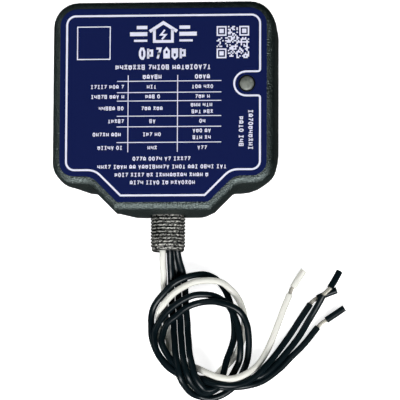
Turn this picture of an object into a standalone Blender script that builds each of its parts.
"""Whole house surge protector: a plastic housing with a conduit nipple and four wire leads.

The housing lies on its back: +Z comes out of the front face, -Y is the nipple end.
All sizes are in millimetres here and are turned into metres when a mesh is made.
"""
import math

import bmesh
import bpy
import numpy as np
from mathutils import Matrix, Vector

MM = 0.001

# Front outline at the widest point of the front edge rounding: right half, bottom to top,
# as (x, y, corner radius). The left half is its mirror image.
FRONT_CORNERS = [(29.0, -52.0, 1.6), (44.6, -36.4, 7.0), (66.4, -36.4, 13.0), (66.4, 73.5, 15.0)]
# Back outline: rounder at the foot and narrower at the neck than the front one.
BACK_CORNERS = [(23.5, -52.0, 13.0), (38.0, -37.5, 8.0), (66.2, -37.5, 23.0), (66.2, 73.3, 16.0)]
ARC_STEPS = 7

# Heights above the table.
FACE_Z = 49.7
LABEL_TOP = 50.0
EDGE_RADIUS = 4.4
FRONT_RIM_Z = 29.2
BACK_RIM_Z = 28.2
BACK_EDGE = 3.0
WALL = 2.8
CEILING_Z = 46.6
FLOOR_Z = 3.2

# Indicator.
LENS_X, LENS_Y = 50.0, 23.2
LENS_HOLE = 5.15

# Conduit nipple (half inch trade size thread, 21.3 across).
NIPPLE_Z = 14.0
NIPPLE_RADIUS = 10.65
NIPPLE_BORE = 8.3
NIPPLE_SEAT_RADIUS, NIPPLE_SEAT_DEPTH = 10.9, 1.9
NECK_Y = -52.0
NIPPLE_END = -73.5
THREAD_PITCH = 2.0

# Housing screws go in from the back, board screws from the front.
HOUSING_SCREWS = [(-55.5, 61.5), (55.5, 61.5), (-55.5, -20.0), (55.5, -20.0)]
BOARD_SCREWS = [(-46.0, 60.0), (46.0, 60.0), (-46.0, -14.0), (44.0, -14.0)]
BOARD_BOTTOM, BOARD_TOP = 12.3, 13.9

VARISTORS = [-40.0, -8.0, 24.0]
STRIP_ROOT_Y, STRIP_Z, STRIP_LENGTH = 0.8, 21.95, 19.8
TERMINAL_X = [-12.0, -4.0, 4.0, 12.0]
LEAD_RADIUS = 1.95
LEAD_SPACING = 5.6
STRAND_RADIUS = 1.3


def clear_scene():
    for old in list(bpy.data.objects):
        bpy.data.objects.remove(old, do_unlink=True)


def material(name, colour, roughness=0.5, metallic=0.0, alpha=1.0):
    found = bpy.data.materials.get(name)
    if found:
        return found
    made = bpy.data.materials.new(name)
    made.use_nodes = True
    shader = made.node_tree.nodes["Principled BSDF"]
    shader.inputs["Base Color"].default_value = (*colour, 1.0)
    shader.inputs["Roughness"].default_value = roughness
    shader.inputs["Metallic"].default_value = metallic
    shader.inputs["Alpha"].default_value = alpha
    return made


def housing_plastic():
    return material("housing_black_abs", (0.012, 0.016, 0.015), 0.55)


def steel():
    return material("zinc_steel", (0.55, 0.56, 0.58), 0.35, 1.0)


def copper():
    return material("tinned_copper", (0.52, 0.50, 0.46), 0.4, 1.0)


def black_pvc():
    return material("wire_pvc_black", (0.008, 0.008, 0.009), 0.25)


def white_pvc():
    return material("wire_pvc_white", (0.8, 0.8, 0.74), 0.35)


def add_object(name, mesh, mat, helper=False):
    made = bpy.data.objects.new(name, mesh)
    if mat:
        mesh.materials.append(mat)
    if helper:
        made.hide_render = True
        made.display_type = "WIRE"
        cutters().objects.link(made)
    else:
        pieces().objects.link(made)
        mesh.shade_smooth()
        mesh.set_sharp_from_angle(angle=math.radians(35))
    return made


def collection(name):
    found = bpy.data.collections.get(name)
    if found is None:
        found = bpy.data.collections.new(name)
        bpy.context.scene.collection.children.link(found)
    return found


def pieces():
    return collection("whole_house_surge_protector")


def cutters():
    return collection("cutters")


def finish_bmesh(bm, name):
    bmesh.ops.recalc_face_normals(bm, faces=bm.faces)
    mesh = bpy.data.meshes.new(name)
    bm.to_mesh(mesh)
    bm.free()
    return mesh


# ---------------------------------------------------------------- outlines and lofts

def mirrored(corners):
    return corners + [(-x, y, r) for x, y, r in reversed(corners)]


def mixed(first, second, share):
    return [tuple(a + (b - a) * share for a, b in zip(p, q)) for p, q in zip(first, second)]


def inset_corners(corners, inset):
    """Moves every side of a counter-clockwise outline inwards and keeps arcs concentric."""
    count = len(corners)
    moved = []
    for i, (x, y, radius) in enumerate(corners):
        before = Vector(corners[i - 1][:2])
        here = Vector((x, y))
        after = Vector(corners[(i + 1) % count][:2])
        a = (here - before).normalized()
        b = (after - here).normalized()
        turn = a.x * b.y - a.y * b.x
        normal_a = Vector((-a.y, a.x))
        normal_b = Vector((-b.y, b.x))
        step = (normal_a + normal_b) * (inset / (1.0 + normal_a.dot(normal_b)))
        new_radius = radius - inset if turn > 0 else radius + inset
        moved.append((here.x + step.x, here.y + step.y, max(new_radius, 0.5)))
    return moved


def rounded(corners, steps=ARC_STEPS):
    """Points round an outline, each corner turned into an arc of the same number of points."""
    count = len(corners)
    points = []
    for i, (x, y, radius) in enumerate(corners):
        here = Vector((x, y))
        to_before = (Vector(corners[i - 1][:2]) - here).normalized()
        to_after = (Vector(corners[(i + 1) % count][:2]) - here).normalized()
        half = to_before.angle(to_after) / 2
        start = here + to_before * (radius / math.tan(half))
        bisector = (to_before + to_after).normalized()
        centre = here + bisector * (radius / math.sin(half))
        end = here + to_after * (radius / math.tan(half))
        a0 = math.atan2(start.y - centre.y, start.x - centre.x)
        a1 = math.atan2(end.y - centre.y, end.x - centre.x)
        sweep = (a1 - a0 + math.pi) % (2 * math.pi) - math.pi
        for k in range(steps + 1):
            angle = a0 + sweep * k / steps
            points.append((centre.x + radius * math.cos(angle), centre.y + radius * math.sin(angle)))
    return points


def ring(corners, inset, z):
    return [(x, y, z) for x, y in rounded(inset_corners(mirrored(corners), inset))]


def loft(rings, name, caps=True):
    bm = bmesh.new()
    rows = [[bm.verts.new((x * MM, y * MM, z * MM)) for x, y, z in points] for points in rings]
    count = len(rows[0])
    for low, high in zip(rows, rows[1:]):
        for i in range(count):
            j = (i + 1) % count
            bm.faces.new((low[i], low[j], high[j], high[i]))
    if caps:
        bm.faces.new(list(reversed(rows[0])))
        bm.faces.new(rows[-1])
    else:
        for i in range(count):
            j = (i + 1) % count
            bm.faces.new((rows[-1][i], rows[-1][j], rows[0][j], rows[0][i]))
    return finish_bmesh(bm, name)


# ---------------------------------------------------------------- simple solids

def box_mesh(name, low, high, bevel=0.0):
    bm = bmesh.new()
    size = [(b - a) * MM for a, b in zip(low, high)]
    centre = [(a + b) / 2 * MM for a, b in zip(low, high)]
    bmesh.ops.create_cube(bm, size=1.0)
    bmesh.ops.scale(bm, vec=size, verts=bm.verts)
    bmesh.ops.translate(bm, vec=centre, verts=bm.verts)
    if bevel:
        bmesh.ops.bevel(bm, geom=list(bm.edges), offset=bevel * MM, segments=2,
                        affect="EDGES", profile=0.5)
    return finish_bmesh(bm, name)


def lathe_mesh(name, profile, sides, place=None):
    """Spins a (radius, height) profile about +Z; it is a loop or starts and ends on the axis."""
    bm = bmesh.new()
    chain = [bm.verts.new((radius * MM, 0.0, height * MM)) for radius, height in profile]
    edges = [bm.edges.new(pair) for pair in zip(chain, chain[1:])]
    if profile[0][0] > 0:
        edges.append(bm.edges.new((chain[-1], chain[0])))
    bmesh.ops.spin(bm, geom=chain + edges, axis=(0, 0, 1), cent=(0, 0, 0),
                   angle=2 * math.pi, steps=sides, use_merge=True)
    bmesh.ops.remove_doubles(bm, verts=bm.verts, dist=0.000001)
    bmesh.ops.dissolve_degenerate(bm, edges=bm.edges, dist=0.000001)
    if place is not None:
        bmesh.ops.transform(bm, matrix=place, verts=bm.verts)
    return finish_bmesh(bm, name)


def standing(x, y, z=0.0):
    return Matrix.Translation(Vector((x, y, z)) * MM)


def along_y(x, y, z):
    """Places a solid turned about +Z so that its axis points along -Y."""
    return standing(x, y, z) @ Matrix.Rotation(math.radians(90), 4, "X")


def joined(meshes, name):
    bm = bmesh.new()
    for mesh in meshes:
        bm.from_mesh(mesh)
        bpy.data.meshes.remove(mesh)
    return finish_bmesh(bm, name)


def combine(target, mesh, operation):
    """Adds a mesh to the target, or cuts it out, with an exact boolean."""
    helper = add_object(target.name + "_tool", mesh, None, helper=True)
    modifier = target.modifiers.new(operation.lower(), "BOOLEAN")
    modifier.operation = operation
    modifier.solver = "EXACT"
    modifier.object = helper
    return helper


def cylinder(name, radius, z0, z1, sides=24, place=None):
    return lathe_mesh(name, [(0, z0), (radius, z0), (radius, z1), (0, z1)], sides, place)


# ---------------------------------------------------------------- housing

def front_housing():
    rings = [ring(FRONT_CORNERS, EDGE_RADIUS * (1 - math.sin(a)),
                  FACE_Z - EDGE_RADIUS * (1 - math.cos(a)))
             for a in [math.radians(v) for v in (0, 22.5, 45, 67.5, 90)]]
    rings.append(ring(FRONT_CORNERS, -0.35, FRONT_RIM_Z + 0.4))
    rings.append(ring(FRONT_CORNERS, -0.05, FRONT_RIM_Z))
    rings.append(ring(FRONT_CORNERS, WALL, FRONT_RIM_Z))
    rings.append(ring(FRONT_CORNERS, WALL + 0.3, CEILING_Z - 2.0))
    rings.append(ring(FRONT_CORNERS, WALL + 2.0, CEILING_Z))
    shell = add_object("front_housing", loft(rings, "front_housing"), housing_plastic())
    posts = []
    for x, y in HOUSING_SCREWS:
        profile = [(0, CEILING_Z - 4.0), (1.75, CEILING_Z - 4.0), (1.75, FRONT_RIM_Z),
                   (4.2, FRONT_RIM_Z), (4.6, CEILING_Z + 1.0), (0, CEILING_Z + 1.0)]
        posts.append(lathe_mesh("post", profile, 18, standing(x, y)))
    combine(shell, joined(posts, "front_posts"), "UNION")
    combine(shell, cylinder("lens_bore", LENS_HOLE, CEILING_Z - 2, LABEL_TOP + 2, 28,
                            standing(LENS_X, LENS_Y)), "DIFFERENCE")
    return shell


def back_housing():
    seam = FRONT_CORNERS
    height = BACK_RIM_Z - BACK_EDGE
    rings = []
    for angle in (0, 30, 60, 90):
        a = math.radians(angle)
        rings.append(ring(BACK_CORNERS, BACK_EDGE * (1 - math.sin(a)),
                          BACK_EDGE * (1 - math.cos(a))))
    for share in (0.35, 0.7):
        rings.append(ring(mixed(BACK_CORNERS, seam, share), 0.0, BACK_EDGE + height * share))
    rings.append(ring(seam, 0.0, BACK_RIM_Z - 0.5))
    rings.append(ring(seam, 0.4, BACK_RIM_Z))
    rings.append(ring(seam, WALL, BACK_RIM_Z))
    rings.append(ring(mixed(BACK_CORNERS, seam, 0.5), WALL, BACK_EDGE + height * 0.5))
    rings.append(ring(BACK_CORNERS, WALL + 0.6, FLOOR_Z + 2.0))
    rings.append(ring(BACK_CORNERS, WALL + 2.2, FLOOR_Z))
    shell = add_object("back_housing", loft(rings, "back_housing"), housing_plastic())
    posts = []
    for x, y in HOUSING_SCREWS:
        posts.append(cylinder("boss", 5.6, 1.0, BACK_RIM_Z, 20, standing(x, y)))
    for x, y in BOARD_SCREWS:
        profile = [(0, FLOOR_Z - 1.0), (3.2, FLOOR_Z - 1.0), (3.0, BOARD_BOTTOM - 0.3),
                   (1.3, BOARD_BOTTOM - 0.3), (1.3, 6.0), (0, 6.0)]
        posts.append(lathe_mesh("standoff", profile, 16, standing(x, y)))
    combine(shell, joined(posts, "back_posts"), "UNION")
    cuts = []
    for x, y in HOUSING_SCREWS:
        profile = [(0, -1.0), (3.9, -1.0), (3.9, 14.0), (2.0, 14.0),
                   (2.0, BACK_RIM_Z + 1.0), (0, BACK_RIM_Z + 1.0)]
        cuts.append(lathe_mesh("bore", profile, 18, standing(x, y)))
    cuts.append(cylinder("nipple_bore", NIPPLE_BORE, -8.0, 8.0, 28,
                         along_y(0, NECK_Y, NIPPLE_Z)))
    seat = cylinder("nipple_seat", NIPPLE_SEAT_RADIUS, -NIPPLE_SEAT_DEPTH, 8.0, 28,
                    along_y(0, NECK_Y, NIPPLE_Z))
    combine(shell, joined(cuts, "back_cuts"), "DIFFERENCE")
    combine(shell, seat, "DIFFERENCE")
    return shell


def housing_gasket():
    low, high = BACK_RIM_Z + 0.2, FRONT_RIM_Z - 0.2
    rings = [ring(FRONT_CORNERS, 0.7, low), ring(FRONT_CORNERS, 0.7, high),
             ring(FRONT_CORNERS, WALL - 0.2, high), ring(FRONT_CORNERS, WALL - 0.2, low)]
    rubber = material("gasket_rubber", (0.004, 0.004, 0.005), 0.8)
    return add_object("housing_gasket", loft(rings, "housing_gasket", caps=False), rubber)


def face_label():
    rings = [ring(FRONT_CORNERS, EDGE_RADIUS + 0.2, FACE_Z + 0.06),
             ring(FRONT_CORNERS, EDGE_RADIUS + 0.2, LABEL_TOP)]
    navy = material("label_navy_film", (0.006, 0.011, 0.062), 0.35)
    label = add_object("face_label", loft(rings, "face_label"), navy)
    combine(label, cylinder("label_bore", LENS_HOLE, FACE_Z - 1, LABEL_TOP + 1, 28,
                            standing(LENS_X, LENS_Y)), "DIFFERENCE")
    return label


def indicator():
    ring_profile = [(4.45, 46.9), (LENS_HOLE - 0.25, 46.9), (LENS_HOLE - 0.25, 50.1), (4.45, 50.1)]
    dark = material("bezel_black", (0.01, 0.01, 0.012), 0.3)
    add_object("lens_bezel", lathe_mesh("lens_bezel", ring_profile, 28,
                                        standing(LENS_X, LENS_Y)), dark)
    dome = [(0, 40.6), (6.4, 40.6), (6.4, 42.4), (4.2, 42.4), (4.2, 49.9), (3.7, 50.55),
            (2.6, 50.98), (1.3, 51.2), (0, 51.25)]
    clear = material("lens_smoke_grey", (0.42, 0.45, 0.42), 0.18)
    add_object("indicator_lens", lathe_mesh("indicator_lens", dome, 24,
                                            standing(LENS_X, LENS_Y)), clear)
    led = [(0, 31.0), (2.9, 31.0), (2.9, 32.2), (2.5, 32.2), (2.5, 37.5), (1.8, 39.2), (0, 40.0)]
    green = material("led_green_epoxy", (0.05, 0.35, 0.1), 0.25)
    add_object("indicator_led", lathe_mesh("indicator_led", led, 16,
                                           standing(LENS_X, LENS_Y)), green)
    spacer = cylinder("led_spacer", 3.4, BOARD_TOP + 0.2, 30.7, 16, standing(LENS_X, LENS_Y))
    nylon = material("nylon_white", (0.7, 0.7, 0.66), 0.5)
    add_object("led_spacer", spacer, nylon)


# ---------------------------------------------------------------- nipple

def conduit_nipple():
    """Axis along -Y; heights in the profile are measured from the neck wall."""
    length = NECK_Y - NIPPLE_END
    root = 0.3 - NIPPLE_SEAT_DEPTH
    profile = [(NIPPLE_BORE, root), (NIPPLE_RADIUS - 0.9, root)]
    at = 1.1
    while at + THREAD_PITCH < length - 0.6:
        profile += [(NIPPLE_RADIUS - 0.95, at), (NIPPLE_RADIUS, at + THREAD_PITCH * 0.42),
                    (NIPPLE_RADIUS, at + THREAD_PITCH * 0.58)]
        at += THREAD_PITCH
    profile += [(NIPPLE_RADIUS - 0.95, at), (NIPPLE_RADIUS - 0.7, length - 0.9),
                (NIPPLE_RADIUS - 1.5, length), (NIPPLE_BORE + 0.2, length),
                (NIPPLE_BORE - 0.1, length - 0.4)]
    grey = material("nipple_grey_pvc", (0.075, 0.085, 0.075), 0.5)
    return add_object("conduit_nipple", lathe_mesh("conduit_nipple", profile, 28,
                                                   along_y(0, NECK_Y, NIPPLE_Z)), grey)


def nipple_potting():
    profile = [(0, -5.0), (NIPPLE_BORE - 0.35, -5.0), (NIPPLE_BORE - 0.35, 16.0),
               (NIPPLE_BORE - 1.2, 16.6), (0, 16.6)]
    epoxy = material("potting_black_epoxy", (0.01, 0.01, 0.01), 0.3)
    return add_object("nipple_potting", lathe_mesh("nipple_potting", profile, 24,
                                                   along_y(0, NECK_Y, NIPPLE_Z)), epoxy)


# ---------------------------------------------------------------- inside parts

def circuit_board():
    outline = [(-48, -20, 2), (57, -20, 2), (57, 50, 2), (48, 66, 2), (-48, 66, 2), (-57, 50, 2),
               (-57, -10, 2)]
    bm_rings = [[(x, y, z) for x, y in rounded(outline, 2)] for z in (BOARD_BOTTOM, BOARD_TOP)]
    fibre = material("board_green_fibreglass", (0.01, 0.13, 0.05), 0.45)
    board = add_object("circuit_board", loft(bm_rings, "circuit_board"), fibre)
    cuts = [cylinder("board_hole", 1.7, BOARD_BOTTOM - 1, BOARD_TOP + 1, 12, standing(x, y))
            for x, y in BOARD_SCREWS]
    cuts += [cylinder("boss_hole", 6.2, BOARD_BOTTOM - 1, BOARD_TOP + 1, 16, standing(x, y))
             for x, y in HOUSING_SCREWS]
    combine(board, joined(cuts, "board_cuts"), "DIFFERENCE")
    return board


def screw(x, y, head_z, length, radius, head_radius, head_height, up):
    """A pan head screw; up is +1 when the head faces +Z."""
    profile = [(0, 0), (radius, 0), (radius, length), (head_radius, length),
               (head_radius, length + head_height * 0.6),
               (head_radius * 0.75, length + head_height), (0, length + head_height)]
    place = standing(x, y, head_z)
    if up > 0:
        place = place @ Matrix.Translation(Vector((0, 0, -length * MM)))
    else:
        place = place @ Matrix.Rotation(math.pi, 4, "X")
        place = place @ Matrix.Translation(Vector((0, 0, -length * MM)))
    return lathe_mesh("screw", profile, 16, place)


def screws():
    for index, (x, y) in enumerate(HOUSING_SCREWS, 1):
        name = "housing_screw_%d" % index
        add_object(name, screw(x, y, 13.7, 28.0, 1.5, 3.3, 2.2, -1), steel())
    for index, (x, y) in enumerate(BOARD_SCREWS, 1):
        name = "board_screw_%d" % index
        add_object(name, screw(x, y, BOARD_TOP + 0.3, 7.0, 1.0, 2.5, 1.6, 1), steel())


def varistor(index, x):
    body = box_mesh("body", (x - 14.2, 22.0, BOARD_TOP + 0.3), (x + 14.2, 54.0, 26.0), 1.2)
    blue = material("varistor_blue_epoxy", (0.02, 0.08, 0.28), 0.4)
    add_object("varistor_%d" % index, body, blue)


def disconnect_strip(index, x):
    """A sprung strip that stands on its post and reaches over the varistor's contact."""
    post = box_mesh("post", (x - 3.0, 0.5, BOARD_TOP + 0.2), (x + 3.0, 3.5, 21.4))
    add_object("strip_post_%d" % index, post, copper())
    spring = material("spring_brass", (0.55, 0.38, 0.14), 0.35, 1.0)
    strip = box_mesh("strip", (-2.6, 0.0, -0.25), (2.6, STRIP_LENGTH, 0.25))
    made = add_object("disconnect_strip_%d" % index, strip, spring)
    made.location = Vector((x, STRIP_ROOT_Y, STRIP_Z)) * MM
    contact = box_mesh("contact", (x - 2.4, 17.4, BOARD_TOP + 0.2), (x + 2.4, 20.4, 21.4))
    add_object("varistor_contact_%d" % index, contact, copper())


def small_parts():
    dark = material("component_black", (0.015, 0.015, 0.016), 0.4)
    add_object("diode_bridge", box_mesh("diode_bridge", (44.0, -2.0, BOARD_TOP + 0.3),
                                        (53.0, 7.0, 17.6), 0.4), dark)
    orange = material("film_capacitor_yellow", (0.6, 0.33, 0.03), 0.4)
    add_object("film_capacitor", box_mesh("film_capacitor", (41.5, 34.0, BOARD_TOP + 0.3),
                                          (53.5, 45.0, 23.0), 0.6), orange)
    tan = material("resistor_tan", (0.45, 0.3, 0.16), 0.5)
    profile = [(0, -4.5), (0.9, -4.5), (1.5, -3.6), (1.25, -2.6), (1.25, 2.6), (1.5, 3.6),
               (0.9, 4.5), (0, 4.5)]
    for index, x in enumerate((36.0, 40.0), 1):
        place = standing(x, 12.0, BOARD_TOP + 1.9) @ Matrix.Rotation(math.radians(-90), 4, "X")
        add_object("resistor_%d" % index, lathe_mesh("resistor", profile, 12, place), tan)
    for index, x in enumerate(TERMINAL_X, 1):
        block = box_mesh("terminal", (x - 3.2, -16.5, BOARD_TOP + 0.2), (x + 3.2, -10.5, 21.0),
                         0.3)
        add_object("wire_terminal_%d" % index, block, copper())


# ---------------------------------------------------------------- wires

def smooth_route(points, spacing):
    """Points at an even spacing along a Catmull-Rom curve through the route points."""
    route = [Vector(p) for p in points]
    ends = [route[0] * 2 - route[1]] + route + [route[-1] * 2 - route[-2]]
    fine = []
    for i in range(1, len(ends) - 2):
        a, b, c, d = ends[i - 1:i + 3]
        for k in range(24):
            t = k / 24
            fine.append(0.5 * ((2 * b) + (c - a) * t + (2 * a - 5 * b + 4 * c - d) * t * t
                               + (3 * b - a - 3 * c + d) * t * t * t))
    fine.append(route[-1])
    travelled = np.cumsum([0.0] + [(q - p).length for p, q in zip(fine, fine[1:])])
    pieces = max(2, round(travelled[-1] / spacing))
    wanted = np.linspace(0.0, travelled[-1], pieces + 1)
    columns = [np.interp(wanted, travelled, [p[axis] for p in fine]) for axis in range(3)]
    return [Vector(p) for p in zip(*columns)]


def tube(name, points, radius, mat, resolution=2):
    curve = bpy.data.curves.new(name, "CURVE")
    curve.dimensions = "3D"
    curve.bevel_depth = radius * MM
    curve.bevel_resolution = resolution
    curve.use_fill_caps = True
    curve.render_resolution_u = 0
    spline = curve.splines.new("POLY")
    spline.points.add(len(points) - 1)
    for target, point in zip(spline.points, points):
        target.co = (*(point * MM), 1.0)
    made = bpy.data.objects.new(name, curve)
    curve.materials.append(mat)
    pieces().objects.link(made)
    return made


# Each lead leaves the nipple, drops to the table, makes one full loop and runs out to the right.
LEAD_ROUTES = {
    "white": [
        (-3.3, -69.3, 13.9), (-3.2, -73.0, 13.2), (-3.5, -79.0, 9.5), (-3.5, -85.5, 4.5),
        (-3.5, -94.0, 2.1), (-3.0, -104.5, 2.1), (-2.0, -115.0, 2.1), (-0.5, -126.0, 2.1),
        (1.0, -135.5, 2.1), (3.5, -142.5, 2.1), (7.0, -149.5, 2.1), (12.0, -154.5, 2.1),
        (18.0, -156.0, 2.1), (24.0, -153.0, 2.1), (28.5, -148.0, 2.1), (32.0, -144.0, 2.1),
        (36.5, -140.0, 2.1), (41.0, -134.0, 2.1), (44.0, -127.0, 2.1), (45.5, -120.0, 2.1),
        (45.5, -112.5, 2.1), (44.0, -106.0, 2.1), (41.0, -100.0, 4.2), (36.5, -95.0, 6.3),
        (31.5, -91.5, 6.4), (23.5, -90.5, 6.4), (15.5, -91.5, 6.4), (8.5, -94.5, 6.4),
        (2.0, -99.0, 6.4), (-2.5, -104.0, 6.3), (-5.0, -107.5, 5.5), (-6.5, -111.0, 3.5),
        (-6.5, -115.5, 2.1), (-6.0, -122.5, 2.1), (-4.0, -129.5, 4.3), (-0.5, -135.5, 6.3),
        (4.5, -139.0, 6.4), (10.5, -141.5, 7.0), (17.0, -143.5, 9.8), (24.5, -147.0, 14.4),
        (31.0, -149.5, 15.9), (38.0, -150.5, 15.4), (44.0, -149.0, 13.4), (50.0, -145.5, 10.4),
        (55.0, -140.5, 6.8), (58.5, -134.5, 3.8), (61.5, -128.0, 2.2), (66.0, -116.5, 2.1),
        (69.5, -107.0, 2.1), (73.0, -98.5, 2.1)],
    "black_1": [
        (0.9, -69.3, 14.0), (1.1, -73.0, 13.2), (1.0, -79.0, 9.8), (1.0, -86.0, 5.2),
        (1.0, -94.0, 2.1), (1.5, -104.5, 2.1), (2.5, -115.0, 2.1), (3.0, -121.5, 4.4),
        (4.0, -128.0, 9.4), (5.0, -135.0, 14.2), (6.5, -142.5, 17.0), (8.0, -149.5, 16.6),
        (10.5, -154.5, 12.4), (14.0, -158.5, 7.0), (19.0, -160.5, 2.8), (26.0, -161.5, 2.1),
        (34.0, -158.5, 2.1), (41.0, -152.5, 2.1), (44.5, -146.0, 2.1), (47.2, -139.0, 2.1),
        (48.3, -131.5, 3.4), (48.4, -124.5, 5.2), (47.6, -118.0, 7.0), (44.8, -111.5, 8.4),
        (40.5, -107.5, 10.4), (34.0, -105.0, 10.6), (27.0, -103.5, 9.2), (18.5, -104.0, 6.6),
        (10.5, -107.0, 6.4), (4.5, -112.0, 6.4), (-0.5, -116.0, 6.4), (-3.0, -121.0, 6.4),
        (-4.0, -127.5, 8.2), (-2.0, -132.5, 10.6), (1.0, -137.5, 12.2), (5.5, -142.0, 12.6),
        (11.0, -145.5, 12.6), (17.0, -149.0, 12.8), (24.0, -152.0, 13.8), (31.5, -154.0, 15.8),
        (39.5, -154.5, 14.6), (47.0, -152.5, 12.2), (53.0, -148.5, 10.6), (58.0, -143.5, 9.6),
        (63.5, -137.0, 6.4), (68.5, -130.0, 3.2), (74.0, -122.0, 2.1), (79.5, -113.5, 2.1),
        (85.5, -104.5, 2.1)],
    "black_2": [
        (3.0, -69.3, 10.0), (3.3, -73.0, 9.2), (3.5, -78.5, 5.4), (4.5, -85.5, 2.2),
        (5.2, -94.0, 2.1), (5.7, -104.5, 2.1), (6.7, -115.0, 2.1), (7.2, -121.5, 4.4),
        (8.2, -128.0, 9.4), (9.2, -135.0, 14.2), (10.8, -142.5, 17.0), (12.9, -149.0, 16.8),
        (16.0, -154.5, 12.4), (20.5, -158.2, 6.8), (25.5, -157.8, 4.2), (31.0, -154.3, 2.5),
        (36.5, -150.0, 2.1), (40.0, -144.5, 2.1), (42.8, -138.5, 4.1), (43.5, -131.5, 6.3),
        (43.0, -124.5, 6.3), (41.5, -116.5, 6.2), (38.5, -109.5, 6.4), (34.5, -104.0, 6.4),
        (28.0, -100.0, 6.4), (21.0, -99.0, 6.4), (15.0, -99.5, 6.4), (9.0, -102.0, 6.4),
        (3.0, -106.0, 6.4), (-2.0, -110.5, 6.4), (-6.0, -116.0, 6.4), (-8.5, -121.5, 6.3),
        (-8.5, -127.0, 7.6), (-7.0, -133.0, 9.4), (-3.0, -139.0, 10.1), (1.5, -143.5, 10.2),
        (8.0, -147.5, 10.2), (14.5, -149.5, 8.9), (21.5, -150.0, 7.8), (30.0, -150.5, 6.4),
        (39.0, -150.5, 6.3), (48.0, -150.0, 6.3), (56.5, -148.0, 6.2), (64.5, -141.5, 5.2),
        (72.0, -133.0, 3.6), (78.5, -124.5, 2.1), (84.5, -114.5, 2.3), (89.5, -106.5, 4.2),
        (93.5, -99.5, 6.6)],
    "black_3": [
        (5.3, -69.3, 14.0), (5.6, -73.0, 13.2), (6.5, -79.0, 9.2), (8.2, -85.5, 4.0),
        (9.4, -94.0, 2.1), (9.9, -104.5, 2.1), (10.9, -115.0, 2.1), (11.4, -121.5, 4.4),
        (12.4, -128.0, 9.4), (13.4, -135.0, 14.2), (15.2, -142.0, 17.0), (17.2, -149.0, 17.4),
        (20.5, -154.5, 15.8), (23.5, -157.0, 13.2), (28.5, -156.0, 11.9), (32.0, -152.0, 11.2),
        (34.0, -145.0, 9.0), (35.0, -139.5, 7.3), (37.0, -133.5, 4.6), (38.9, -127.0, 2.4),
        (39.5, -120.5, 2.1), (38.9, -112.5, 2.1), (36.8, -103.5, 2.1), (33.5, -95.5, 2.1),
        (28.5, -89.5, 2.1), (21.5, -86.5, 2.6), (14.0, -87.5, 6.2), (8.0, -89.5, 7.4),
        (2.0, -93.0, 6.6), (-2.5, -97.5, 6.4), (-6.5, -102.0, 5.4), (-9.5, -106.5, 3.3),
        (-11.0, -112.0, 2.1), (-11.0, -118.0, 2.1), (-10.5, -125.0, 2.6), (-8.0, -132.0, 4.8),
        (-4.5, -138.0, 6.0), (0.5, -143.5, 6.2), (7.5, -148.0, 6.0), (14.0, -152.0, 5.5),
        (21.5, -154.0, 6.6), (30.5, -155.0, 7.3), (39.0, -155.0, 6.4), (48.0, -154.0, 5.4),
        (57.0, -151.0, 3.2), (66.5, -144.0, 2.1), (73.5, -137.0, 2.1), (81.5, -129.0, 2.1),
        (90.0, -118.5, 2.1)],
}

# The stripped end of each lead: bare strands across the gap, then the loose slug of insulation.
STRAND_ROUTES = {
    "white": [(73.2, -98.0, 2.1), (74.0, -95.6, 2.1), (74.6, -94.8, 2.1)],
    "black_1": [(85.9, -103.9, 2.1), (87.4, -102.4, 2.1), (89.2, -101.2, 2.1)],
    "black_2": [(93.8, -99.0, 6.7), (95.6, -97.2, 6.8), (97.3, -95.6, 6.7)],
    "black_3": [(90.4, -118.0, 2.1), (92.4, -116.0, 2.1), (94.6, -114.6, 2.1)],
}
SLUG_ROUTES = {
    "white": [(74.9, -94.4, 2.1), (78.2, -89.2, 2.1), (81.5, -84.0, 2.1)],
    "black_1": [(89.7, -101.0, 2.1), (95.4, -98.5, 2.1), (101.5, -96.2, 2.1)],
    "black_2": [(97.6, -95.2, 6.6), (100.5, -90.2, 5.3), (103.2, -85.0, 4.0)],
    "black_3": [(95.0, -114.4, 2.1), (100.4, -110.8, 2.1), (106.0, -107.0, 2.1)],
}


def resting(points, radius):
    """Keeps a curve from dipping into the table between two route points."""
    return [Vector((p.x, p.y, max(p.z, radius + 0.02))) for p in points]


def outer_leads():
    for key, route in LEAD_ROUTES.items():
        pvc = white_pvc() if key == "white" else black_pvc()
        tube("lead_" + key, resting(smooth_route(route, LEAD_SPACING), LEAD_RADIUS),
             LEAD_RADIUS, pvc)
        tube("strands_" + key, smooth_route(STRAND_ROUTES[key], 1.5), STRAND_RADIUS, copper())
        tube("slug_" + key, smooth_route(SLUG_ROUTES[key], 4.0), LEAD_RADIUS, pvc)


def inner_leads():
    starts = [(-3.4, 14.0), (0.95, 14.2), (3.1, 10.2), (5.35, 14.0)]
    for index, ((x0, z0), x1) in enumerate(zip(starts, TERMINAL_X)):
        route = [(x0, -46.6, z0), (x0, -41.0, z0), (x0 * 0.6 + x1 * 0.4, -32.0, 16.5),
                 (x1, -24.0, 17.6), (x1, -16.8, 17.6)]
        name = "inner_lead_white" if index == 0 else "inner_lead_black_%d" % index
        tube(name, smooth_route(route, 5.0), 1.9, white_pvc() if index == 0 else black_pvc(), 1)


def build():
    clear_scene()
    front_housing()
    back_housing()
    housing_gasket()
    face_label()
    indicator()
    conduit_nipple()
    nipple_potting()
    circuit_board()
    screws()
    for index, x in enumerate(VARISTORS, 1):
        varistor(index, x)
        disconnect_strip(index, x)
    small_parts()
    inner_leads()
    outer_leads()


build()
